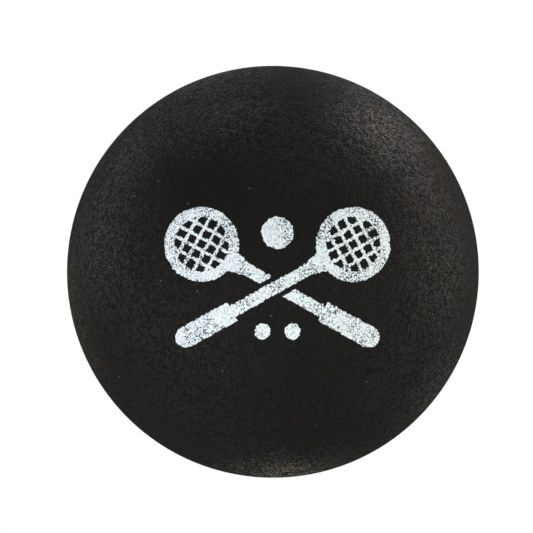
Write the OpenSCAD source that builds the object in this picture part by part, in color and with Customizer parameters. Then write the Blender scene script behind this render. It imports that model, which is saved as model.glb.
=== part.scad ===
// Squash ball: two moulded rubber half shells, cemented rim to rim round one seam,
// with a print of white ink on the front half.
//
// The origin is the middle of the ball. The print faces -Y and reads upright with +Z up,
// and the seam lies in the XZ plane, so the Y axis runs through the pole of each half.

/* [Ball] */
// Outside diameter of the ball
ball_d = 40; // [30:0.5:60]
// Thickness of the rubber wall
wall = 5.2; // [3:0.1:8]

/* [Seam] */
// Thickness of the cement film between the two rims
film_t = 0.12; // [0.05:0.01:0.3]
// Width of the bevel round the outer edge of each rim
outer_bevel = 0.1; // [0.05:0.01:0.3]
// Width of the bevel round the inner edge of each rim, which the squeezed-out cement fills
inner_bevel = 0.5; // [0.2:0.05:1]
// How far the cement lies below the surface of the ball
film_recess = 0.05; // [0.02:0.01:0.2]

/* [Print] */
// Thickness of the ink film
ink_t = 0.04; // [0.02:0.005:0.1]
// How far the middle of the print lies to the right of the front pole
print_x = 0.4; // [-3:0.1:3]
// How far the middle of the print lies above the front pole
print_z = -0.5; // [-3:0.1:3]
// Angle of each racket above the level
racket_tilt = 29; // [20:1:45]
// Gap that the lower racket leaves on each side of the upper one where they cross
cross_gap = 0.45; // [0.2:0.05:1]

/* [Racket] */
// Reach of the racket from the crossing to the top of its head
head_reach = 11.6; // [10:0.1:13]
// Reach of the racket from the crossing to the butt of its grip
grip_reach = 10.8; // [9:0.1:13]
// Outside diameter of the head
head_d = 7; // [5:0.1:9]
// Width of the frame round the head
frame_w = 0.95; // [0.5:0.05:1.5]
// Number of strings each way
string_count = 4; // [2:1:5]
// Width of a string
string_w = 0.32; // [0.2:0.02:0.5]
// Width of the shaft
shaft_w = 1.15; // [0.6:0.05:2]
// Width of the throat where it meets the head
throat_w = 2.1; // [1.6:0.1:3]
// Length of the throat's taper
throat_l = 1.9; // [1:0.1:2.5]
// Width of the grip
grip_w = 2; // [1.2:0.1:3]
// Length of the grip
grip_l = 6; // [4:0.1:8]

/* [Dots] */
// Diameter of the ball mark above the crossing
ball_mark_d = 3; // [1.5:0.1:4]
// Height of the ball mark above the crossing
ball_mark_rise = 5; // [3:0.1:7]
// Diameter of each small dot below the crossing
dot_d = 1.5; // [0.8:0.1:2]
// Distance between the two small dots
dot_pitch = 2.8; // [2:0.1:4]
// Depth of the small dots below the crossing
dot_drop = 4.2; // [3:0.1:7]

/* [Hidden] */
$fn = 128;

// How far a cut runs past the surface that it opens
overrun = 1;

ball_r = ball_d / 2;
cavity_r = ball_r - wall;
rim_y = film_t / 2;

// The bead of squeezed-out cement is as thick as the mouth of the two inner bevels
bead_r = rim_y + inner_bevel;
film_r = ball_r - film_recess;

head_inner_d = head_d - 2 * frame_w;
frame_mid_d = head_d - frame_w;
head_x = head_reach - head_d / 2;
string_pitch = head_inner_d / (string_count + 1);
neck_x = head_x - frame_mid_d / 2;
throat_x = neck_x - throat_l;
butt_x = grip_w / 2 - grip_reach;

// The crossing lies below the middle of the print, so that the heads and grips frame it evenly
print_top = head_x * sin(racket_tilt) + head_d / 2;
print_bottom = butt_x * sin(racket_tilt) - grip_w / 2;
crossing_z = print_z - (print_top + print_bottom) / 2;

rubber_black = "#232221";
cement_black = "#161514";
ink_white = "#e6ebec";

// A profile of [radius from the ball's axis, height along it], turned about the Y axis
module turned_about_y() {
    rotate([-90, 0, 0]) rotate_extrude() children();
}

// A bevel at 45 degrees that takes the corner off a rim: the profile between the rim's face
// and the surface at radius r, where side is 1 for the outer corner and -1 for the inner one
module rim_bevel_profile(r, bevel, side) {
    polygon([
        [r - side * (bevel + overrun), rim_y - overrun],
        [r + side * overrun, rim_y - overrun],
        [r + side * overrun, rim_y + bevel + overrun]
    ]);
}

// The half of the rubber wall on the +Y side of the seam
module half_shell() {
    difference() {
        sphere(r = ball_r);
        sphere(r = cavity_r);
        translate([-ball_d, rim_y - 2 * ball_d, -ball_d]) cube(2 * ball_d);
        turned_about_y() rim_bevel_profile(ball_r, outer_bevel, 1);
        turned_about_y() rim_bevel_profile(cavity_r, inner_bevel, -1);
    }
}

module front_half_shell() {
    color(rubber_black) mirror([0, 1, 0]) half_shell();
}

module rear_half_shell() {
    color(rubber_black) half_shell();
}

// The cement: a flat film between the rims, a wedge that fills their inner bevels,
// and a half-round bead where it was squeezed into the hollow
module seam_cement() {
    color(cement_black) turned_about_y() {
        polygon([
            [film_r, rim_y],
            [cavity_r + inner_bevel, rim_y],
            [cavity_r, bead_r],
            [cavity_r, -bead_r],
            [cavity_r + inner_bevel, -rim_y],
            [film_r, -rim_y]
        ]);
        intersection() {
            translate([cavity_r, 0]) circle(r = bead_r);
            translate([cavity_r - bead_r, -bead_r]) square([bead_r, 2 * bead_r]);
        }
    }
}

// A film of ink on the front of the ball, in the flat shape that is given as its child.
// The shape's origin is the crossing of the rackets, with x to the right and y up.
module ink() {
    color(ink_white) intersection() {
        difference() {
            sphere(r = ball_r + ink_t);
            sphere(r = ball_r);
        }
        rotate([90, 0, 0])
            linear_extrude(height = ball_d)
                translate([print_x, crossing_z]) children();
    }
}

// The head of a racket about its own middle: a round frame, and strings both ways
// that run out to the middle of the frame
module head() {
    difference() {
        circle(d = head_d);
        circle(d = head_inner_d);
    }
    intersection() {
        circle(d = frame_mid_d);
        for (turn = [0, 90], i = [0 : string_count - 1])
            rotate(turn)
                translate([(i - (string_count - 1) / 2) * string_pitch, 0])
                    square([string_w, head_d], center = true);
    }
}

// One racket along +X, with the crossing at its origin: a round head, a tapered throat,
// a thin shaft and a grip with a round butt
module racket() {
    translate([head_x, 0]) head();
    polygon([
        [throat_x, -shaft_w / 2],
        [neck_x, -throat_w / 2],
        [neck_x, throat_w / 2],
        [throat_x, shaft_w / 2]
    ]);
    translate([butt_x, -shaft_w / 2]) square([neck_x - butt_x, shaft_w]);
    translate([butt_x, -grip_w / 2]) square([grip_l - grip_w / 2, grip_w]);
    translate([butt_x, 0]) circle(d = grip_w);
}

// The racket whose head is at the upper right passes over the other and is whole
module ink_right_racket() {
    ink() rotate(racket_tilt) racket();
}

// The racket whose head is at the upper left passes under it, and a band of bare rubber
// as wide as the upper shaft and a gap on each side interrupts its own shaft there
module ink_left_racket() {
    ink() difference() {
        mirror([1, 0]) rotate(racket_tilt) racket();
        rotate(racket_tilt) square([grip_reach, shaft_w + 2 * cross_gap], center = true);
    }
}

module ink_ball_mark() {
    ink() translate([0, ball_mark_rise]) circle(d = ball_mark_d);
}

module ink_dot_pair() {
    ink() for (side = [-1, 1])
        translate([side * dot_pitch / 2, -dot_drop]) circle(d = dot_d);
}

front_half_shell();
rear_half_shell();
seam_cement();
ink_right_racket();
ink_left_racket();
ink_ball_mark();
ink_dot_pair();
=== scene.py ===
# %% [markdown]
# # A squash ball
# A squash ball is two moulded cups of black rubber, cemented rim to rim, buffed matte all over
# and printed once with white ink by a soft pad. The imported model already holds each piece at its
# true size: two half shells, the cement between them and four marks of ink. With plain finishes
# it would look like a ball of card. So this notebook keeps the sizes and makes what a hand and a
# lens would find: the buffed grain of the rubber, and the thin, ragged film of the ink.

# %% Tools and units
import math

import bmesh
import bpy
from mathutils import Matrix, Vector, noise
from mathutils.bvhtree import BVHTree


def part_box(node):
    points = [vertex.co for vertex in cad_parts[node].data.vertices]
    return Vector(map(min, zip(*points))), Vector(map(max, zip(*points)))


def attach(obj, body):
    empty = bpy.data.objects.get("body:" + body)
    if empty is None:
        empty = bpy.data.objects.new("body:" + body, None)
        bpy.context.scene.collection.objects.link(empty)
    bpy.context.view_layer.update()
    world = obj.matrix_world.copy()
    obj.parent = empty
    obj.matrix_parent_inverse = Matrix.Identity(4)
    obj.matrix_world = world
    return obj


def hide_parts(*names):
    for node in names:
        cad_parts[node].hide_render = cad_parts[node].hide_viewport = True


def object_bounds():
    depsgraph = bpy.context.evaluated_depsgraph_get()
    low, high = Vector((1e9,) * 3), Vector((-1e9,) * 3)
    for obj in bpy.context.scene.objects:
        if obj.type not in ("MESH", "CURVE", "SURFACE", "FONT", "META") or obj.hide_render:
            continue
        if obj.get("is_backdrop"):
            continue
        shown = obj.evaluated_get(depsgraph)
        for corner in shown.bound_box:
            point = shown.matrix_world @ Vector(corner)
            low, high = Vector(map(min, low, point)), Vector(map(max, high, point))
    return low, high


MM = 0.001
print("Blender", bpy.app.version_string, "works in metres, so one millimetre is", MM)

# %% [markdown]
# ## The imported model
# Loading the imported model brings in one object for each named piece, in the place that the ball's
# own frame gives it. Their common box is measured before anything is dressed, because the finished
# ball has to stay inside it.

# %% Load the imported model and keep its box
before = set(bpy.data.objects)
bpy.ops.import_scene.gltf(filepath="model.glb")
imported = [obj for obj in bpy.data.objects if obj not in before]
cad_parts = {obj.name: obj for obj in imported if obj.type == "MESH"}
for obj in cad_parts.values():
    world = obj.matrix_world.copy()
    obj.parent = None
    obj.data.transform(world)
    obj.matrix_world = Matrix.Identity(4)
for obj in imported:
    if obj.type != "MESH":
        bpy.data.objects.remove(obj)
cad_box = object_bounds()
print("pieces in the packed model:", ", ".join(sorted(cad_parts)))

# %% [markdown]
# ## The sizes of the ball
# The sizes could be typed in again, but a number that stands in two places can come to differ.
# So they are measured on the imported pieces. A half shell is exact at its vertices: the furthest
# one gives the ball's radius and the nearest one gives the hollow's. The rims stand apart by the
# thickness of the cement, and the cement's bead reaches as far as the bevels inside the rims.

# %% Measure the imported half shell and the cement
rear_lengths = [v.co.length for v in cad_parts["rear_half_shell"].data.vertices]
BALL_R = max(rear_lengths)
CAVITY_R = min(rear_lengths)
RIM_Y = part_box("rear_half_shell")[0].y
BEAD_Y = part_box("seam_cement")[1].y
INNER_BEVEL = BEAD_Y - RIM_Y
# The outer bevel doesn't show in the boxes, so it is given.
OUTER_BEVEL = 0.1 * MM
print(f"ball {2 * BALL_R / MM:.2f} mm across, hollow {2 * CAVITY_R / MM:.2f} mm across")
print(f"rims {2 * RIM_Y / MM:.2f} mm apart, inner bevels {INNER_BEVEL / MM:.2f} mm wide")

# %% [markdown]
# ## The camera
# The photograph was taken level and straight on, and the outline of the ball is a circle to
# within a thousandth. A camera close by would swell the middle of the print, and one with no
# perspective would show a whole half of the ball. The photograph doesn't tell the distance, so the
# camera stands where a small product is usually taken from, and its lens is worked out from how
# large the ball stands in the frame. The ball isn't quite in the middle of the frame. A shift of
# the lens could do that, but a step to the side does it with nothing hidden in the camera.

# %% How large the ball stands in the frame
IMAGE_PX = 533
OUTLINE_RADIUS_PX = 205.7
OUTLINE_CENTRE_PX = (272.9, 271.8)
# The relief and the soft edge of a render make the outline this much smaller.
EDGE_LOSS_PX = 0.4
CAMERA_DISTANCE = 450 * MM

ball_px = OUTLINE_RADIUS_PX + EDGE_LOSS_PX
focal_px = ball_px * math.sqrt(CAMERA_DISTANCE**2 - BALL_R**2) / BALL_R
metres_per_px = CAMERA_DISTANCE / focal_px
print(f"{MM / metres_per_px:.2f} pixels per millimetre, {metres_per_px / MM:.3f} mm per pixel")

# %% Set up the camera
SENSOR_WIDTH = 36

camera_data = bpy.data.cameras.new("camera")
camera_data.sensor_width = SENSOR_WIDTH
camera_data.lens = focal_px * SENSOR_WIDTH / IMAGE_PX
camera = bpy.data.objects.new("camera", camera_data)
bpy.context.scene.collection.objects.link(camera)
aside = (IMAGE_PX / 2 - OUTLINE_CENTRE_PX[0]) * metres_per_px
above = (OUTLINE_CENTRE_PX[1] - IMAGE_PX / 2) * metres_per_px
camera.location = (aside, -CAMERA_DISTANCE, above)
camera.rotation_euler = (math.pi / 2, 0, 0)
bpy.context.scene.camera = camera
print(f"lens {camera_data.lens:.0f} mm, {aside / MM:.2f} mm aside and {above / MM:.2f} mm above")

# %% [markdown]
# ## Colours and nodes
# A colour is given as an sRGB hex value, but light adds up on a linear scale, so one function turns
# the first into the second. Worlds and materials are trees of nodes. They could be drawn in the node
# editor, but a script has to say them, so one helper adds a node together with its settings, the
# values of its sockets and the links that come into them.


# %% From an sRGB hex value to a linear colour
def linear(hex_colour):
    """The linear colour of an sRGB hex value."""
    parts = [int(hex_colour[i : i + 2], 16) / 255 for i in (1, 3, 5)]
    return [c / 12.92 if c <= 0.04045 else ((c + 0.055) / 1.055) ** 2.4 for c in parts] + [1]


print(f"the sRGB grey #808080 reflects {linear('#808080')[0]:.2f} of the light")


# %% Add one node
def add_node(tree, kind, settings=None, values=None, links=None):
    """Adds a node, with its settings, the values of its sockets and links into its sockets."""
    node = tree.nodes.new(kind)
    for key, value in (settings or {}).items():
        setattr(node, key, value)
    for key, value in (values or {}).items():
        node.inputs[key].default_value = value
    for key, source in (links or {}).items():
        tree.links.new(source, node.inputs[key])
    return node


# %% Start a material, and scale a pattern
def new_material(name):
    """An empty material and its tree of nodes."""
    material = bpy.data.materials.new(name)
    material.use_nodes = True
    material.node_tree.nodes.clear()
    return material, material.node_tree


def per_metre(width_mm):
    """The texture scale at which a pattern's cells are that wide."""
    return 1 / (width_mm * MM)


print(f"cells of 1 mm need a texture scale of {per_metre(1):.0f}")

# %% [markdown]
# ## Light
# The ball stood in soft studio light. Matte rubber shows a lamp as a glow and not as a sharp
# spot, and the photograph has several: a warm one at the upper right, cooler ones at the upper
# left and along the left edge, and a thin bright crescent at the very bottom. A picture of a
# studio could light it, but this script reads no pictures, and an even dome of light would take
# the glows away. So each glow has a lamp or two of its own. A lamp is a disc that faces the ball,
# given by where it stands, how wide it looks from the ball and how bright it is to look at. Its
# power follows from those.

# %% A soft round lamp
LAMP_DISTANCE = 500 * MM


def direction(azimuth, elevation):
    """The way from the ball, with azimuth counted from the camera's side towards the right."""
    a, e = math.radians(azimuth), math.radians(elevation)
    return Vector((math.sin(a) * math.cos(e), -math.cos(a) * math.cos(e), math.sin(e)))


def soft_lamp(name, azimuth, elevation, half_angle, radiance, hex_colour):
    """A disc that faces the ball and looks half_angle degrees wide from its middle to its edge."""
    radius = LAMP_DISTANCE * math.tan(math.radians(half_angle))
    lamp = bpy.data.lights.new(name, "AREA")
    lamp.shape = "DISK"
    lamp.size = 2 * radius
    lamp.color = linear(hex_colour)[:3]
    lamp.energy = radiance * math.pi * math.pi * radius**2
    obj = bpy.data.objects.new(name, lamp)
    bpy.context.scene.collection.objects.link(obj)
    towards = direction(azimuth, elevation)
    obj.location = towards * LAMP_DISTANCE
    obj.rotation_euler = towards.to_track_quat("Z", "Y").to_euler()
    obj.visible_camera = False
    return obj


print(f"the lamps stand {LAMP_DISTANCE / MM:.0f} mm from the ball's middle")

# %% [markdown]
# The white of the print is nearly as bright as the page, so strong light comes from the front.
# It could come from one lamp over the camera, but that would put a hot spot on the rubber between
# the marks. Wide lamps off to the sides light the print as well and leave the rubber calm.

# %% Lamps for the print and the face
face_lamps = [
    soft_lamp("front_low_left", -45, -18, 41, 1.19, "#eaf2ff"),
    soft_lamp("front_low_right", 40, -6, 35, 1.21, "#f3fff7"),
    soft_lamp("high_front_right", 32, 60, 21, 1.93, "#eaedff"),
    soft_lamp("bounce_below", -57, -51, 51, 0.58, "#f9fffd"),
]
print("face:", ", ".join(lamp.name for lamp in face_lamps))

# %% [markdown]
# A glow that lies near the edge of a ball comes from a lamp behind the ball. The narrow lamps
# here are far brighter than the wide ones, because the rubber spreads what they give. They also
# pick out single grains, which is what makes the lit parts glitter.

# %% Lamps behind the shoulders
shoulder_lamps = [
    soft_lamp("key_behind_right", 132, 43, 5, 44.0, "#fff9f2"),
    soft_lamp("back_right", 108, 27, 5, 18.3, "#fff1ec"),
    soft_lamp("high_behind_left", -132, 70, 5, 30.9, "#dfe8ff"),
    soft_lamp("behind_left", -135, 33, 5, 8.37, "#e2ebff"),
    soft_lamp("over_behind", 189, 29, 8, 0.867, "#edf0ff"),
    soft_lamp("over_behind_right", 169, 24, 5, 1.17, "#d3e2ff"),
]
print("shoulders:", ", ".join(lamp.name for lamp in shoulder_lamps))

# %% [markdown]
# The last lamps draw the edges. A wide one on each side and one low on the right light the flanks
# of the ball. Faint ones low behind it keep the rim from going black there, and a small one under
# the back gives the crescent at the bottom.

# %% Lamps for the edges
edge_lamps = [
    soft_lamp("side_right", 106, 2, 20, 2.29, "#fffef5"),
    soft_lamp("side_left", -108, 11, 21, 1.78, "#f9ffff"),
    soft_lamp("low_right", 94, -42, 25, 0.845, "#fffcfe"),
    soft_lamp("low_behind_left", -150, -6, 11, 0.344, "#ffeab7"),
    soft_lamp("low_behind_right", 151, -18, 5, 1.59, "#fffff1"),
    soft_lamp("below_behind", 178, -38, 5, 2.12, "#fffcfc"),
    soft_lamp("under_behind", 178, -27, 3, 4.37, "#fff4c0"),
]
print("edges:", ", ".join(lamp.name for lamp in edge_lamps))

# %% [markdown]
# ## The background
# The photograph's background is pure white, yet its edge doesn't flare round the ball: the white
# was laid in afterwards or stood far away. One white world would light the rim of the ball from
# behind. So the world shows white to the camera and only a dim grey to the ball, and straight
# behind the ball that grey falls off to nearly nothing, which keeps the rim dark.

# %% The dim grey that the ball sees
SURROUND = 0.072
SURROUND_COLOUR = "#fffcf5"
DUSK_START = 0.88
DUSK_END = 0.97
DUSK_SHARE = 0.1

world = bpy.data.worlds.new("studio")
world.use_nodes = True
sky = world.node_tree
sky.nodes.clear()
ray = add_node(sky, "ShaderNodeTexCoord")
axis = add_node(sky, "ShaderNodeSeparateXYZ", links={0: ray.outputs["Generated"]})
dusk = add_node(
    sky,
    "ShaderNodeMapRange",
    values={
        "From Min": DUSK_START,
        "From Max": DUSK_END,
        "To Min": SURROUND,
        "To Max": DUSK_SHARE * SURROUND,
    },
    links={"Value": axis.outputs["Y"]},
)
grey = add_node(
    sky,
    "ShaderNodeBackground",
    values={"Color": linear(SURROUND_COLOUR)},
    links={"Strength": dusk.outputs["Result"]},
)
dark_half_angle = math.degrees(math.acos(DUSK_END))
print(f"the dark patch behind the ball is {2 * dark_half_angle:.0f} degrees wide")

# %% White for the camera
white = add_node(sky, "ShaderNodeBackground", values={"Color": linear("#ffffff")})
seen_by = add_node(sky, "ShaderNodeLightPath")
pick = add_node(
    sky,
    "ShaderNodeMixShader",
    links={0: seen_by.outputs["Is Camera Ray"], 1: grey.outputs[0], 2: white.outputs[0]},
)
add_node(sky, "ShaderNodeOutputWorld", links={"Surface": pick.outputs[0]})
bpy.context.scene.world = world
bpy.context.scene.view_settings.view_transform = "Standard"
bpy.context.scene.view_settings.look = "None"
print("world:", len(sky.nodes), "nodes")

# %% [markdown]
# ## The floor
# The ball rests on plain white, with no shadow and no line where the floor ends. A real sheet
# would have both, and would throw light up on the ball besides. So the floor is a wide sheet that
# glows as white as the world does, and that only the camera sees.

# %% Lay the floor under the ball
FLOOR_HALF = 2.0

floor_bm = bmesh.new()
bmesh.ops.create_grid(floor_bm, x_segments=1, y_segments=1, size=FLOOR_HALF)
bmesh.ops.translate(floor_bm, verts=floor_bm.verts, vec=(0, 0, -BALL_R))
floor_mesh = bpy.data.meshes.new("floor")
floor_bm.to_mesh(floor_mesh)
floor_bm.free()
floor = bpy.data.objects.new("floor", floor_mesh)
bpy.context.scene.collection.objects.link(floor)
floor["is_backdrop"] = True
print(f"floor at {-BALL_R / MM:.1f} mm, {2 * FLOOR_HALF:.0f} m wide")

# %% White paper that only the camera sees
paper, paper_tree = new_material("white_paper")
paper_glow = add_node(paper_tree, "ShaderNodeEmission", values={"Color": linear("#ffffff")})
add_node(paper_tree, "ShaderNodeOutputMaterial", links={"Surface": paper_glow.outputs[0]})
floor_mesh.materials.append(paper)
floor.visible_diffuse = floor.visible_glossy = floor.visible_shadow = False
print("the floor shows in reflections:", floor.visible_glossy)

# %% [markdown]
# ## The relief of the rubber
# Fresh from the mould the ball is smooth and a little shiny. It is then buffed, which leaves a
# fine grain and very shallow swells. All of it could be a bump in the material, but then the
# exported mesh would be a bare ball. So what the mesh can hold is real relief, and only what is
# finer is left to the material. Relief is cut down from the full radius and never built up, so
# the ball doesn't grow past its gauge.

# %% How deep the buffed surface lies
SWELL_WIDTH = 6.0 * MM
SWELL_DEPTH = 0.012 * MM
GRAIN_WIDTH = 0.42 * MM
GRAIN_DEPTH = 0.010 * MM


def unevenness(point, width):
    """A noise between 0 and 1 whose lumps are about that wide."""
    return 0.5 + 0.5 * noise.noise(point / width)


def relief(point):
    """How far the buffed surface lies below the full radius at a point on the ball."""
    swell = unevenness(point, SWELL_WIDTH)
    grain = unevenness(point, GRAIN_WIDTH)
    return SWELL_DEPTH * swell + GRAIN_DEPTH * grain


FRONT_POLE = Vector((0, -BALL_R, 0))
print(f"at the front pole the surface lies {relief(FRONT_POLE) / MM:.4f} mm deep")


# %% [markdown]
# Each piece ends in the same way: its faces are made triangles, its normals point outwards, and
# edges sharper than a given angle stay sharp while the rest is shaded smooth.
#
# A face inside a piece that is missing, or lies across its hollow, wouldn't show in a picture. So
# the open edges are counted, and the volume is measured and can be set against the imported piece's.
# It would come out below zero for a piece that is inside out.


# %% The volume of a piece
def volume_mm3(bm):
    """The volume that a bmesh encloses, in cubic millimetres."""
    return bm.calc_volume(signed=True) / MM**3


packed_half = bmesh.new()
packed_half.from_mesh(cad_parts["rear_half_shell"].data)
print(f"a packed half shell holds {volume_mm3(packed_half):.0f} mm3")
packed_half.free()


# %% Turn a bmesh into a piece
def finish_piece(bm, name, sharp_degrees):
    """Closes the work on a bmesh, puts it in the scene and says what it measures."""
    bmesh.ops.triangulate(bm, faces=bm.faces)
    bmesh.ops.recalc_face_normals(bm, faces=bm.faces)
    open_edges = sum(not e.is_manifold for e in bm.edges)
    volume = volume_mm3(bm)
    mesh = bpy.data.meshes.new(name)
    bm.to_mesh(mesh)
    bm.free()
    mesh.shade_smooth()
    mesh.set_sharp_from_angle(angle=math.radians(sharp_degrees))
    piece = bpy.data.objects.new(name, mesh)
    bpy.context.scene.collection.objects.link(piece)
    print(f"{name}: {len(mesh.polygons)} triangles, {open_edges} open edges, {volume:.2f} mm3")
    return piece


# %% [markdown]
# ## The half shells
# Each half is moulded as a cup with a flat rim, and the rim's corners are bevelled: a little
# outside, more inside, where the squeezed-out cement gathers. A cup could be spun from its
# profile, but spun faces crowd at the pole and stretch at the rim, and the grain would with them.
# A ball of near-equal triangles has no poles. So each half starts as two such balls, one for the
# skin and one for the hollow, cut off at the rim with a bisecting plane.

# %% The part of a ball beyond the rim
SKIN_DETAIL = 8
HOLLOW_DETAIL = 6
SAME_PLACE = 0.02 * MM
ICOSAHEDRON_FACES = 20


def triangle_width(radius, detail):
    """How wide a ball's triangles are: each detail after the first makes four of one."""
    area = 4 * math.pi * radius**2 / (ICOSAHEDRON_FACES * 4 ** (detail - 1))
    return math.sqrt(area * 4 / math.sqrt(3))


def add_cut_ball(bm, radius, detail, side, y_cut):
    """Adds the part of a ball that lies beyond y_cut on that side, and returns its cut edges."""
    made = bmesh.ops.create_icosphere(bm, subdivisions=detail, radius=radius)
    verts = set(made["verts"])
    edges = [e for e in bm.edges if e.verts[0] in verts]
    faces = [f for f in bm.faces if f.verts[0] in verts]
    cut = bmesh.ops.bisect_plane(
        bm,
        geom=made["verts"] + edges + faces,
        dist=SAME_PLACE,
        plane_co=(0, side * y_cut, 0),
        plane_no=(0, -side, 0),
        clear_outer=True,
    )
    return [e for e in cut["geom_cut"] if isinstance(e, bmesh.types.BMEdge)]


for surface, radius, detail in (("skin", BALL_R, SKIN_DETAIL), ("hollow", CAVITY_R, HOLLOW_DETAIL)):
    print(f"triangles of the {surface} are {triangle_width(radius, detail) / MM:.2f} mm wide")

# %% [markdown]
# The cut edges are a ring. Extruding it with no distance and then moving the new ring in to the
# rim gives the bevel. The bevel tool could do it too, but it would leave its corner wherever the
# triangles happen to end. Here each ring is put on its true circle.
#
# The flat rim is bridged between the outer and the inner ring. In one plane the two rings give the
# tool no direction, and it can join them with a twist, right across the hollow. So they are
# bridged while the inner ring is still deeper, and only then does it go to its place.


# %% Rings on the rim
def set_ring(edges, side, radius, y):
    """Puts the ends of a ring of edges on a true circle about the Y axis."""
    for v in {v for e in edges for v in e.verts}:
        across = Vector((v.co.x, 0, v.co.z)).normalized()
        v.co = across * radius + Vector((0, side * y, 0))


def extrude_ring(bm, edges):
    """Extrudes a ring of edges and returns the new one."""
    made = bmesh.ops.extrude_edge_only(bm, edges=edges)["geom"]
    new = {v for v in made if isinstance(v, bmesh.types.BMVert)}
    return [e for e in made if isinstance(e, bmesh.types.BMEdge) and set(e.verts) <= new]


RIM_INSIDE_R = CAVITY_R + INNER_BEVEL
RIM_OUTSIDE_R = BALL_R - OUTER_BEVEL
print(f"the flat rim reaches from {RIM_INSIDE_R / MM:.1f} to {RIM_OUTSIDE_R / MM:.1f} mm")

# %% Make one half shell
RIM_SHARP = 30


def half_shell(name, side):
    """The half on that side of the seam: skin, hollow, two bevels and the flat rim between."""
    bm = bmesh.new()
    y_outer = RIM_Y + OUTER_BEVEL
    hollow_edge = add_cut_ball(bm, CAVITY_R, HOLLOW_DETAIL, side, BEAD_Y)
    skin_edge = add_cut_ball(bm, BALL_R, SKIN_DETAIL, side, y_outer)
    skin = [v for v in bm.verts if v.co.length > (BALL_R + CAVITY_R) / 2]
    set_ring(skin_edge, side, math.sqrt(BALL_R**2 - y_outer**2), y_outer)
    rim_outside = extrude_ring(bm, skin_edge)
    set_ring(rim_outside, side, RIM_OUTSIDE_R, RIM_Y)
    set_ring(hollow_edge, side, math.sqrt(CAVITY_R**2 - BEAD_Y**2), BEAD_Y)
    rim_inside = extrude_ring(bm, hollow_edge)
    bmesh.ops.bridge_loops(bm, edges=rim_outside + rim_inside)
    set_ring(rim_inside, side, RIM_INSIDE_R, RIM_Y)
    for v in skin:
        v.co -= v.co.normalized() * relief(v.co)
    return finish_piece(bm, name, RIM_SHARP)


front_shell = half_shell("buffed_front_half", -1)
rear_shell = half_shell("buffed_rear_half", 1)

# %% [markdown]
# ## The print
# A soft rubber pad picks the ink up from an etched plate and rolls it onto the ball. The film is
# a few hundredths of a millimetre thick, follows the grain beneath, and its edge wanders a little.
# It could be painted in the rubber's material, but ink that a nail could lift is a piece of its
# own. So each mark is a mesh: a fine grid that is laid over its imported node, trimmed to the
# node's outline and given the thickness of the film.
#
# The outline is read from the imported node. Its outer faces say what the mark covers, and its
# walls say where the nearest edge is.

# %% The outline of a packed mark
CENTRE = Vector((0, 0, 0))
WALL_LEAN = 0.5
SAME_POINT = 1e-7


class Outline:
    """What a packed ink node covers, and where its edge is."""

    def __init__(self, node):
        bm = bmesh.new()
        bm.from_mesh(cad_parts[node].data)
        bmesh.ops.remove_doubles(bm, verts=bm.verts, dist=SAME_POINT)
        bm.normal_update()
        bm.verts.index_update()
        points = [v.co.copy() for v in bm.verts]
        lean = {f: f.normal.dot(f.calc_center_median().normalized()) for f in bm.faces}
        tops = [[v.index for v in f.verts] for f in bm.faces if lean[f] > WALL_LEAN]
        walls = [[v.index for v in f.verts] for f in bm.faces if abs(lean[f]) <= WALL_LEAN]
        volume = volume_mm3(bm)
        bm.free()
        self.top = BVHTree.FromPolygons(points, tops)
        self.wall = BVHTree.FromPolygons(points, walls)
        self.film_r = max(p.length for p in points)
        print(f"{node}: {len(tops)} outer faces, {len(walls)} wall faces, {volume:.2f} mm3")

    def edge(self, point):
        """How far a point lies outside the mark, below zero inside it, and the way out."""
        on_film = point.normalized() * self.film_r
        covered = self.top.ray_cast(CENTRE, on_film.normalized())[0] is not None
        nearest = self.wall.find_nearest(on_film)[0]
        away = on_film - nearest
        gap = away.length
        away = away.normalized() if gap else Vector((0, 0, 0))
        return (-gap, -away) if covered else (gap, away)


# %% [markdown]
# The ink creeps outwards in some places and stops short in others, by less than a tenth of a
# millimetre. Where the grain was too deep for the pad, a pinhole stays bare. Random numbers could
# place both, but noise that is read at a point gives the same ball on every run.

# %% Where the ink crept and where it missed
RAG_WIDTH = 0.22 * MM
RAG_DEPTH = 0.13 * MM
PINHOLE_WIDTH = 0.22 * MM
PINHOLE_LEVEL = 0.64
PINHOLE_OFFSET = Vector((7, 3, 5))


def ragged(point):
    """How far the edge of the ink has crept outwards at a point."""
    return RAG_DEPTH * noise.noise(point / RAG_WIDTH)


def is_pinhole(point):
    """Whether the pad left the grain bare at a point."""
    return noise.noise(point / PINHOLE_WIDTH + PINHOLE_OFFSET) > PINHOLE_LEVEL


print(f"at the front pole an edge would creep by {ragged(FRONT_POLE) / MM:.3f} mm")

# %% Lay a fine grid over the mark
CELL = 0.07 * MM
MARGIN = 4 * CELL
NEAR_EDGE = 2 * CELL


def front_of_ball(x, z):
    """The point of the ball's front at that place in the camera's view."""
    return Vector((x, -math.sqrt(BALL_R**2 - x**2 - z**2), z))


def laid_grid(node):
    """A grid that covers the whole node and lies on the front of the ball."""
    low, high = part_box(node)
    middle = (low + high) / 2
    width, height = high.x - low.x + 2 * MARGIN, high.z - low.z + 2 * MARGIN
    across, up = round(width / CELL), round(height / CELL)
    bm = bmesh.new()
    bmesh.ops.create_grid(bm, x_segments=across, y_segments=up, size=0.5)
    for v in bm.verts:
        v.co = front_of_ball(middle.x + v.co.x * width, middle.z + v.co.y * height)
    return bm


print(f"a cell is {CELL / MM:.2f} mm wide, which is {CELL / metres_per_px:.1f} pixels")

# %% [markdown]
# Cutting the grid with the outline exactly would be a boolean, which is slow on such thin walls
# and leaves slivers. Here whole cells are taken away, and the steps that this leaves are pulled
# onto the outline and smoothed, which gives the soft, uneven edge that ink has. Where two cells
# then touch at no more than a corner, the film would have no width, so those cells go as well.

# %% Trim the grid to the mark
RIM_SMOOTHING = 0.4


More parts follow.
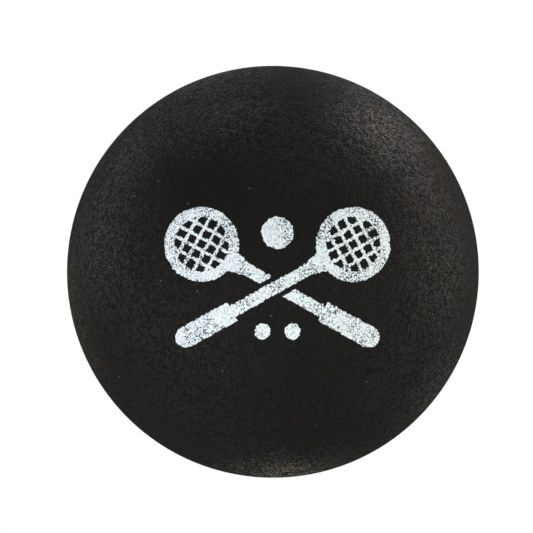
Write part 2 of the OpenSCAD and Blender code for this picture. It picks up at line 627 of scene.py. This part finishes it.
def trim(bm, outline):
    """Leaves the cells under the ink, and returns how deep inside the mark each vertex is."""
    edge = {}
    for v in bm.verts:
        gap, away = outline.edge(v.co)
        edge[v] = (gap - ragged(v.co), away)
    unwanted = [
        f
        for f in bm.faces
        if sum(edge[v][0] for v in f.verts) > 0 or is_pinhole(f.calc_center_median())
    ]
    while unwanted:
        bmesh.ops.delete(bm, geom=unwanted, context="FACES")
        pinched = [v for v in bm.verts if sum(e.is_boundary for e in v.link_edges) > 2]
        unwanted = list({f for v in pinched for f in v.link_faces})
    bmesh.ops.delete(bm, geom=[v for v in bm.verts if not v.link_faces], context="VERTS")
    for v in bm.verts:
        gap, away = edge[v]
        if v.is_boundary and abs(gap) < NEAR_EDGE:
            v.co = (v.co - away * gap).normalized() * BALL_R
    bmesh.ops.smooth_vert(
        bm,
        verts=[v for v in bm.verts if v.is_boundary],
        factor=RIM_SMOOTHING,
        use_axis_x=True,
        use_axis_y=True,
        use_axis_z=True,
    )
    print(f"{len(bm.faces)} cells of the grid lie under the ink")
    return {v: -edge[v][0] for v in bm.verts}


# %% [markdown]
# Wet ink draws thin at its edge before it dries. The film is laid on the relief of the rubber,
# thinner at the rim, and is given an underside that is bedded a little way into the grain, so no
# gap shows between the two.

# %% Give the film its thickness
FILM = 0.030 * MM
BEDDED = 0.02 * MM
FEATHER = 0.15 * MM
EDGE_SHARE = 0.35


def thicken(bm, depth):
    """Lays the film on the relief, thin towards its edge, and closes it underneath."""
    for v in bm.verts:
        inward = min(max(depth[v], 0) / FEATHER, 1)
        thickness = FILM * (EDGE_SHARE + (1 - EDGE_SHARE) * inward)
        out = v.co.normalized()
        v.co = out * (BALL_R - relief(out * BALL_R) + thickness)
    bmesh.ops.recalc_face_normals(bm, faces=bm.faces)
    if sum(f.normal.dot(f.calc_center_median()) for f in bm.faces) < 0:
        bmesh.ops.reverse_faces(bm, faces=bm.faces)
    bmesh.ops.solidify(bm, geom=bm.faces[:], thickness=FILM + BEDDED)


print(f"the film is {FILM / MM:.3f} mm thick, and {EDGE_SHARE * FILM / MM:.3f} mm at its rim")

# %% Make the four marks
INK_SHARP = 50


def ink_mark(node):
    """The printed piece that stands for a packed ink node."""
    bm = laid_grid(node)
    depth = trim(bm, Outline(node))
    thicken(bm, depth)
    return finish_piece(bm, node.replace("ink_", "printed_"), INK_SHARP)


INK_NODES = ("ink_right_racket", "ink_left_racket", "ink_ball_mark", "ink_dot_pair")
marks = {node: ink_mark(node) for node in INK_NODES}

# %% [markdown]
# ## Buffed vulcanised rubber
# The wall is rubber filled with carbon black and cured in a hot mould. The whole ball is then
# buffed, so no gloss of the mould is left. To the eye that gives a nearly black ball with a
# faint, broad sheen, in which each grain catches a lamp by itself: the lit parts glitter, and the
# dark parts look smooth. A picture of rubber could be wrapped round the ball, but it would bring
# a seam of its own and crowd at two poles. A noise that is read at each point of the solid does
# neither, so the finish is made of four noises.
#
# The grit leaves marks about 0.06 mm wide. A pixel is 0.1 mm wide, so they are drawn as coarse as
# the photograph shows them, at 0.16 mm. They gather in clusters, and the belt leaves some patches
# with fine scratches side by side.

# %% The grain and its clusters
GRAIN_MM = 0.16
CLUSTER_MM = 0.5

rubber, rubber_tree = new_material("buffed_vulcanised_rubber")
place = add_node(rubber_tree, "ShaderNodeTexCoord").outputs["Object"]
grain = add_node(
    rubber_tree,
    "ShaderNodeTexNoise",
    values={"Scale": per_metre(GRAIN_MM), "Detail": 0.5, "Roughness": 0.5},
    links={"Vector": place},
)
cluster = add_node(
    rubber_tree,
    "ShaderNodeTexNoise",
    values={"Scale": per_metre(CLUSTER_MM), "Detail": 1.0},
    links={"Vector": place},
)
print(f"a grain is {GRAIN_MM * MM / metres_per_px:.1f} pixels wide")

# %% The patches and the scratches
PATCH_MM = 3.5
SCRATCH_MM = 0.18
BELT_TURN = (0.4, 0.6, 0.9)
SCRATCH_STRETCH = (1.0, 1.0, 0.35)

patch = add_node(
    rubber_tree,
    "ShaderNodeTexNoise",
    values={"Scale": per_metre(PATCH_MM), "Detail": 3.0, "Roughness": 0.55},
    links={"Vector": place},
)
along_belt = add_node(
    rubber_tree,
    "ShaderNodeMapping",
    values={"Rotation": BELT_TURN, "Scale": SCRATCH_STRETCH},
    links={"Vector": place},
)
scratch = add_node(
    rubber_tree,
    "ShaderNodeTexNoise",
    values={"Scale": per_metre(SCRATCH_MM), "Detail": 0.5},
    links={"Vector": along_belt.outputs["Vector"]},
)
print(f"a scratch is {SCRATCH_MM} mm wide and {SCRATCH_MM / SCRATCH_STRETCH[2]:.1f} mm long")

# %% [markdown]
# The belt runs over the shoulders of the ball and spares the pole that takes the print, because
# ink holds best on an even ground. So the scratches, and half of the grain's depth, fade out
# towards that pole. A mask could be painted for it, but the ball's own Y axis already tells how
# far a point is from the pole.

# %% How far the belt came to the pole
POLE_Y = -19.0 * MM
SHOULDER_Y = -15.5 * MM
POLE_GRAIN = 0.5

axes = add_node(rubber_tree, "ShaderNodeSeparateXYZ", links={"Vector": place})
shoulder = add_node(
    rubber_tree,
    "ShaderNodeMapRange",
    values={"From Min": POLE_Y, "From Max": SHOULDER_Y},
    links={"Value": axes.outputs["Y"]},
)
buffing = add_node(
    rubber_tree,
    "ShaderNodeMapRange",
    values={"To Min": POLE_GRAIN, "To Max": 1.0},
    links={"Value": shoulder.outputs["Result"]},
)
spared_angle = math.degrees(math.acos(SHOULDER_Y / -BALL_R))
print(f"the spared pole reaches {spared_angle:.0f} degrees from its middle")

# %% Where the belt left scratches
BELT_FAINT = 0.45
BELT_FULL = 0.65
SCRATCH_SHARE = 0.45

belt = add_node(
    rubber_tree,
    "ShaderNodeMapRange",
    values={"From Min": BELT_FAINT, "From Max": BELT_FULL, "To Max": SCRATCH_SHARE},
    links={"Value": patch.outputs["Fac"]},
)
scratched = add_node(
    rubber_tree,
    "ShaderNodeMath",
    settings={"operation": "MULTIPLY"},
    links={0: belt.outputs["Result"], 1: shoulder.outputs["Result"]},
)
print(f"scratches make up at most {SCRATCH_SHARE:.0%} of the height in a patch")

# %% [markdown]
# The height of the surface is the grain, with the scratches in it where the belt ran. A second,
# wider bump under it stands for the clusters, so a glow breaks up at two sizes, as it does on the
# real ball.

# %% The height of the grain
GRAIN_HEIGHT = 0.075 * MM
CLUSTER_HEIGHT = 0.05 * MM

height = add_node(
    rubber_tree,
    "ShaderNodeMix",
    links={
        "Factor": scratched.outputs["Value"],
        "A": grain.outputs["Fac"],
        "B": scratch.outputs["Fac"],
    },
)
clustered = add_node(
    rubber_tree,
    "ShaderNodeBump",
    values={"Strength": 1.0, "Distance": CLUSTER_HEIGHT},
    links={"Height": cluster.outputs["Fac"]},
)
bump = add_node(
    rubber_tree,
    "ShaderNodeBump",
    values={"Distance": GRAIN_HEIGHT},
    links={
        "Strength": buffing.outputs["Result"],
        "Height": height.outputs["Result"],
        "Normal": clustered.outputs["Normal"],
    },
)
print(f"grain {GRAIN_HEIGHT / MM} mm high on clusters {CLUSTER_HEIGHT / MM} mm high")

# %% [markdown]
# Handling rubs the tips of the grain smooth, while dust and wear keep the hollows dull. Bump
# alone would only blur a glow. It is the change between smooth tips and dull hollows that makes
# single grains flash, so the tips are picked out here and used for both roughness and colour.

# %% The worn tips
TIPS_START = 0.42
TIPS_FULL = 0.60
CLUSTER_SHARE = 0.30
HALF_WORN = 0.5

lifted = add_node(
    rubber_tree,
    "ShaderNodeMix",
    values={"Factor": CLUSTER_SHARE},
    links={"A": height.outputs["Result"], "B": cluster.outputs["Fac"]},
)
tip = add_node(
    rubber_tree,
    "ShaderNodeMapRange",
    settings={"interpolation_type": "SMOOTHSTEP"},
    values={"From Min": TIPS_START, "From Max": TIPS_FULL},
    links={"Value": lifted.outputs["Result"]},
)
worn = add_node(
    rubber_tree,
    "ShaderNodeMix",
    values={"A": HALF_WORN},
    links={"Factor": buffing.outputs["Result"], "B": tip.outputs["Result"]},
)
print(f"a grain starts to look worn at {TIPS_START} of its height")

# %% [markdown]
# Black rubber is never quite even: here it leans to brown, there to blue, in patches a few
# millimetres wide, and the worn tips are a little greyer. One black would look painted, so three
# near-blacks are mixed by the patches and the tips.

# %% The colour of the rubber
RUBBER_BROWN = "#17120e"
RUBBER_BLUE = "#0f1011"
RUBBER_WORN = "#151312"
BROWN_UNTIL = 0.40
BLUE_FROM = 0.60

blueing = add_node(
    rubber_tree,
    "ShaderNodeMapRange",
    values={"From Min": BROWN_UNTIL, "From Max": BLUE_FROM},
    links={"Value": patch.outputs["Fac"]},
)
ground = add_node(
    rubber_tree,
    "ShaderNodeMix",
    settings={"data_type": "RGBA"},
    values={"A": linear(RUBBER_BROWN), "B": linear(RUBBER_BLUE)},
    links={"Factor": blueing.outputs["Result"]},
)
colour = add_node(
    rubber_tree,
    "ShaderNodeMix",
    settings={"data_type": "RGBA"},
    values={"B": linear(RUBBER_WORN)},
    links={"Factor": worn.outputs["Result"], "A": ground.outputs["Result"]},
)
print("near-blacks:", RUBBER_BROWN, RUBBER_BLUE, RUBBER_WORN)

# %% [markdown]
# A few pale motes of dust lie on the ball. They could be tiny meshes, but they have no shape that
# shows. A Voronoi pattern gives each cell a middle and a random colour: a dot round the middle is
# the mote, and the random colour leaves most of the cells empty.

# %% Where the motes lie
MOTE_CELL_MM = 1.3
MOTE_MM = 0.07
MOTE_CHANCE = 0.38

cell = add_node(
    rubber_tree,
    "ShaderNodeTexVoronoi",
    values={"Scale": per_metre(MOTE_CELL_MM)},
    links={"Vector": place},
)
near = add_node(
    rubber_tree,
    "ShaderNodeMath",
    settings={"operation": "LESS_THAN"},
    values={1: MOTE_MM / MOTE_CELL_MM},
    links={0: cell.outputs["Distance"]},
)
chosen = add_node(
    rubber_tree,
    "ShaderNodeMath",
    settings={"operation": "GREATER_THAN"},
    values={1: 1 - MOTE_CHANCE},
    links={0: cell.outputs["Color"]},
)
print(f"motes {2 * MOTE_MM} mm across in cells of {MOTE_CELL_MM} mm")

# %% Lay the motes on the rubber
DUST = "#6f6a63"

mote = add_node(
    rubber_tree,
    "ShaderNodeMath",
    settings={"operation": "MULTIPLY"},
    links={0: near.outputs["Value"], 1: chosen.outputs["Value"]},
)
dusted = add_node(
    rubber_tree,
    "ShaderNodeMix",
    settings={"data_type": "RGBA"},
    values={"B": linear(DUST)},
    links={"Factor": mote.outputs["Value"], "A": colour.outputs["Result"]},
)
print(f"about {MOTE_CHANCE:.0%} of the cells hold a mote of {DUST}")

# %% [markdown]
# Rubber bends light as most polymers do, with an IOR of 1.52. Black dust from the buffing covers
# most of the surface and takes the shine away, so its specular level is matched to the photograph
# and is far below the usual 0.5. What shine is left is faintly warm.

# %% The sheen of the rubber
RUBBER_IOR = 1.52
RUBBER_SPECULAR = 0.14
SHEEN_TINT = "#fffaef"
HOLLOW_ROUGHNESS = 0.95
TIP_ROUGHNESS = 0.30

roughness = add_node(
    rubber_tree,
    "ShaderNodeMapRange",
    values={"To Min": HOLLOW_ROUGHNESS, "To Max": TIP_ROUGHNESS},
    links={"Value": worn.outputs["Result"]},
)
rubber_shader = add_node(
    rubber_tree,
    "ShaderNodeBsdfPrincipled",
    values={
        "IOR": RUBBER_IOR,
        "Specular IOR Level": RUBBER_SPECULAR,
        "Specular Tint": linear(SHEEN_TINT),
    },
    links={
        "Base Color": dusted.outputs["Result"],
        "Roughness": roughness.outputs["Result"],
        "Normal": bump.outputs["Normal"],
    },
)
add_node(
    rubber_tree, "ShaderNodeOutputMaterial", links={"Surface": rubber_shader.outputs["BSDF"]}
)
print(rubber.name, "has", len(rubber_tree.nodes), "nodes")

# %% [markdown]
# ## Cured rubber cement
# The cement is a solution of rubber that is brushed on both rims and cured when they meet. Its
# film ends just below the surface of the ball, so outside it shows only as a hair-thin dark line,
# and inside it shows as a bead. It could be modelled anew with brush marks, but its packed ring
# has its true shape, so it keeps that and gets a finish. It sets smoother than buffed rubber and
# a little lumpy, which gives the eye a dull gloss.

# %% The lumps of the cement
LUMP_MM = 0.6
LUMP_HEIGHT = 0.02 * MM

cement, cement_tree = new_material("cured_rubber_cement")
cement_place = add_node(cement_tree, "ShaderNodeTexCoord").outputs["Object"]
lumps = add_node(
    cement_tree,
    "ShaderNodeTexNoise",
    values={"Scale": per_metre(LUMP_MM), "Detail": 2.0},
    links={"Vector": cement_place},
)
cement_bump = add_node(
    cement_tree,
    "ShaderNodeBump",
    values={"Strength": 1.0, "Distance": LUMP_HEIGHT},
    links={"Height": lumps.outputs["Fac"]},
)
print(f"lumps {LUMP_MM} mm wide and {LUMP_HEIGHT / MM} mm high")

# %% The colour and gloss of the cement
CEMENT_DARK = "#0d0c0b"
CEMENT_LIGHT = "#171412"
CEMENT_IOR = 1.5
CEMENT_SPECULAR = 0.2
CEMENT_ROUGHNESS = 0.4

cement_colour = add_node(
    cement_tree,
    "ShaderNodeMix",
    settings={"data_type": "RGBA"},
    values={"A": linear(CEMENT_DARK), "B": linear(CEMENT_LIGHT)},
    links={"Factor": lumps.outputs["Fac"]},
)
cement_shader = add_node(
    cement_tree,
    "ShaderNodeBsdfPrincipled",
    values={
        "Roughness": CEMENT_ROUGHNESS,
        "IOR": CEMENT_IOR,
        "Specular IOR Level": CEMENT_SPECULAR,
    },
    links={
        "Base Color": cement_colour.outputs["Result"],
        "Normal": cement_bump.outputs["Normal"],
    },
)
add_node(
    cement_tree, "ShaderNodeOutputMaterial", links={"Surface": cement_shader.outputs["BSDF"]}
)
print(cement.name, "has", len(cement_tree.nodes), "nodes")

# %% [markdown]
# ## Pad-printing ink
# The ink is white pigment in a tough binder, pressed on by a pad and dried. It fills the hollows
# of the grain poorly, so up close the white is mottled with grey where the rubber shines through,
# and whole patches are starved where the pad pressed less. An even white would look like a
# sticker. So the white is thinned by the same grain as the rubber's, more or less strongly by a
# slow noise that stands for the pad's pressure.

# %% Where the grain thins the ink
THIN_DEEP = 0.29
THIN_NONE = 0.57

ink, ink_tree = new_material("pad_printing_ink")
ink_place = add_node(ink_tree, "ShaderNodeTexCoord").outputs["Object"]
ink_grain = add_node(
    ink_tree,
    "ShaderNodeTexNoise",
    values={"Scale": per_metre(GRAIN_MM), "Detail": 0.5, "Roughness": 0.5},
    links={"Vector": ink_place},
)
hollow = add_node(
    ink_tree,
    "ShaderNodeMapRange",
    values={"From Min": THIN_NONE, "From Max": THIN_DEEP},
    links={"Value": ink_grain.outputs["Fac"]},
)
print(f"the ink thins where the grain lies lower than {THIN_NONE} of its height")

# %% How hard the pad pressed
PRESSURE_MM = 2.2
WELL_UNTIL = 0.40
STARVED_FROM = 0.60
PRESSED_WELL = 0.38
STARVED = 1.22

pressure = add_node(
    ink_tree,
    "ShaderNodeTexNoise",
    values={"Scale": per_metre(PRESSURE_MM), "Detail": 1.0},
    links={"Vector": ink_place},
)
starved = add_node(
    ink_tree,
    "ShaderNodeMapRange",
    values={
        "From Min": WELL_UNTIL,
        "From Max": STARVED_FROM,
        "To Min": PRESSED_WELL,
        "To Max": STARVED,
    },
    links={"Value": pressure.outputs["Fac"]},
)
thin = add_node(
    ink_tree,
    "ShaderNodeMath",
    settings={"operation": "MULTIPLY", "use_clamp": True},
    links={0: hollow.outputs["Result"], 1: starved.outputs["Result"]},
)
print(f"patches of even pressure are about {PRESSURE_MM} mm wide")

# %% [markdown]
# Full ink is nearly as white as paper, and thin ink is the blue-grey that a white film gives over
# black. Dried ink has a soft, even gloss, duller than fresh paint, and follows the grain.

# %% The colour and gloss of the ink
INK_FULL = "#fcffff"
INK_THIN = "#3a4650"
INK_BUMP = 0.03 * MM
INK_IOR = 1.5
INK_SPECULAR = 0.3
INK_ROUGHNESS = 0.55

ink_colour = add_node(
    ink_tree,
    "ShaderNodeMix",
    settings={"data_type": "RGBA"},
    values={"A": linear(INK_FULL), "B": linear(INK_THIN)},
    links={"Factor": thin.outputs["Value"]},
)
ink_bump = add_node(
    ink_tree,
    "ShaderNodeBump",
    values={"Strength": 1.0, "Distance": INK_BUMP},
    links={"Height": ink_grain.outputs["Fac"]},
)
ink_shader = add_node(
    ink_tree,
    "ShaderNodeBsdfPrincipled",
    values={"Roughness": INK_ROUGHNESS, "IOR": INK_IOR, "Specular IOR Level": INK_SPECULAR},
    links={"Base Color": ink_colour.outputs["Result"], "Normal": ink_bump.outputs["Normal"]},
)
add_node(ink_tree, "ShaderNodeOutputMaterial", links={"Surface": ink_shader.outputs["BSDF"]})
print(ink.name, "has", len(ink_tree.nodes), "nodes")

# %% [markdown]
# ## Putting it together
# Each new piece takes the place of its imported node, gets its finish and rides with the ball, which
# is one body because nothing on it moves. The imported nodes could be deleted, but they are still
# needed as solids, so they are only hidden. The cement is shown as it is.


# %% Dress the pieces
def dress(piece, node, finish):
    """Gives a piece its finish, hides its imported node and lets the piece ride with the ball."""
    piece.data.materials.append(finish)
    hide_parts(node)
    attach(piece, "root")


dress(front_shell, "front_half_shell", rubber)
dress(rear_shell, "rear_half_shell", rubber)
for node, mark in marks.items():
    dress(mark, node, ink)
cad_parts["seam_cement"].material_slots[0].material = cement
print("dressed:", ", ".join(piece.name for piece in (front_shell, rear_shell, *marks.values())))

# %% [markdown]
# ## The two boxes
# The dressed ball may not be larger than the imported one, so both boxes are written down side by
# side.

# %% Write both boxes
visual_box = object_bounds()
for name, box in (("packed", cad_box), ("dressed", visual_box)):
    print(f"{name} box (mm):", [[round(x / MM, 3) for x in corner] for corner in box])
